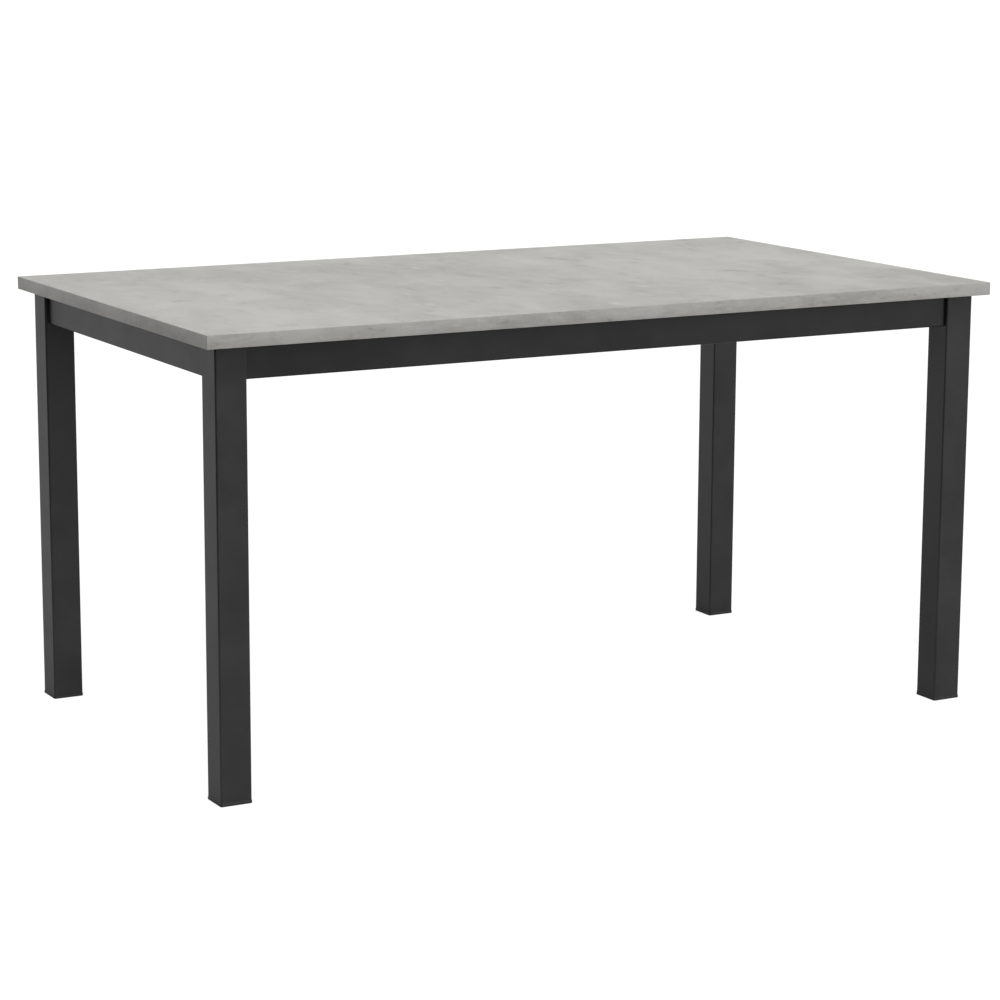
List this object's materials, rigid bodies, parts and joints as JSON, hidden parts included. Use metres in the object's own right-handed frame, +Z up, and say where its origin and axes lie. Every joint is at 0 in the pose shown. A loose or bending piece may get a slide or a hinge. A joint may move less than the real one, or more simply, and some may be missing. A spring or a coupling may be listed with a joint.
{
  "type": "extendable dining table",
  "caption": "Rectangular dining table on square metal legs, with a one-piece board top, pull-out support frames at both ends and loose leaves stored under the top.",
  "frame": {"origin": "on the floor, under the middle of the table top, with both end frames pushed in and the leaves stored", "axes": "+X along the table's length to the right end, +Y to the back long side, +Z up"},
  "size_m": [1.5, 0.85, 0.76],
  "materials": {
    "concrete_melamine": "concrete-effect melamine, matt",
    "edging": "matt ABS edging strip",
    "powder_coat": "fine satin powder coat, anthracite black",
    "foot_plastic": "moulded, fine grain",
    "galvanised_steel": "zinc-plated",
    "zinc_fixings": "bright zinc",
    "spring_steel": "blued spring strip",
    "nylon": "natural nylon",
    "rubber": "matt",
    "felt": "pressed felt"
  },
  "bodies": {
    "frame": {"top_board": "concrete_melamine", "edging_front": "edging", "edging_back": "edging", "edging_left": "edging", "edging_right": "edging", "leg_front_left": "powder_coat", "leg_front_right": "powder_coat", "leg_back_left": "powder_coat", "leg_back_right": "powder_coat", "foot_front_left": "foot_plastic", "foot_front_right": "foot_plastic", "foot_back_left": "foot_plastic", "foot_back_right": "foot_plastic", "leg_top_plates": "powder_coat", "apron_front": "powder_coat", "apron_back": "powder_coat", "brace_left": "powder_coat", "brace_right": "powder_coat", "bracket_front_left": "galvanised_steel", "bracket_front_right": "galvanised_steel", "bracket_back_left": "galvanised_steel", "bracket_back_right": "galvanised_steel", "top_lugs": "powder_coat", "frame_bolts": "zinc_fixings", "top_screws": "zinc_fixings", "channel_front": "galvanised_steel", "channel_back": "galvanised_steel", "guide_front_left": "nylon", "guide_front_right": "nylon", "guide_back_left": "nylon", "guide_back_right": "nylon", "channel_screws": "zinc_fixings", "rail_stops": "zinc_fixings", "clips_left": "spring_steel", "clips_right": "spring_steel", "clip_felts": "felt", "clip_screws": "zinc_fixings", "leaf_spacers": "rubber", "spacer_screws": "zinc_fixings"},
    "frame_left": {"end_apron_left": "powder_coat", "rail_front_left": "powder_coat", "rail_back_left": "powder_coat", "slider_front_left": "nylon", "slider_back_left": "nylon", "end_bolts_left": "zinc_fixings"},
    "frame_right": {"end_apron_right": "powder_coat", "rail_front_right": "powder_coat", "rail_back_right": "powder_coat", "slider_front_right": "nylon", "slider_back_right": "nylon", "end_bolts_right": "zinc_fixings"},
    "leaf_front": {"leaf_front_board": "concrete_melamine", "leaf_front_edging": "edging", "leaf_front_pads": "rubber"},
    "leaf_back": {"leaf_back_board": "concrete_melamine", "leaf_back_edging": "edging", "leaf_back_pads": "rubber"}
  },
  "joints": [
    {"name": "left_extension", "type": "slide", "parent": "frame", "child": "frame_left", "axis": [-1, 0, 0], "range_m": [0, 0.36]},
    {"name": "right_extension", "type": "slide", "parent": "frame", "child": "frame_right", "axis": [1, 0, 0], "range_m": [0, 0.36]},
    {"name": "front_leaf_release", "type": "slide", "parent": "frame", "child": "leaf_front", "axis": [0, 0, -1], "range_m": [0, 0.3]},
    {"name": "back_leaf_release", "type": "slide", "parent": "frame", "child": "leaf_back", "axis": [0, 0, -1], "range_m": [0, 0.3]}
  ]
}
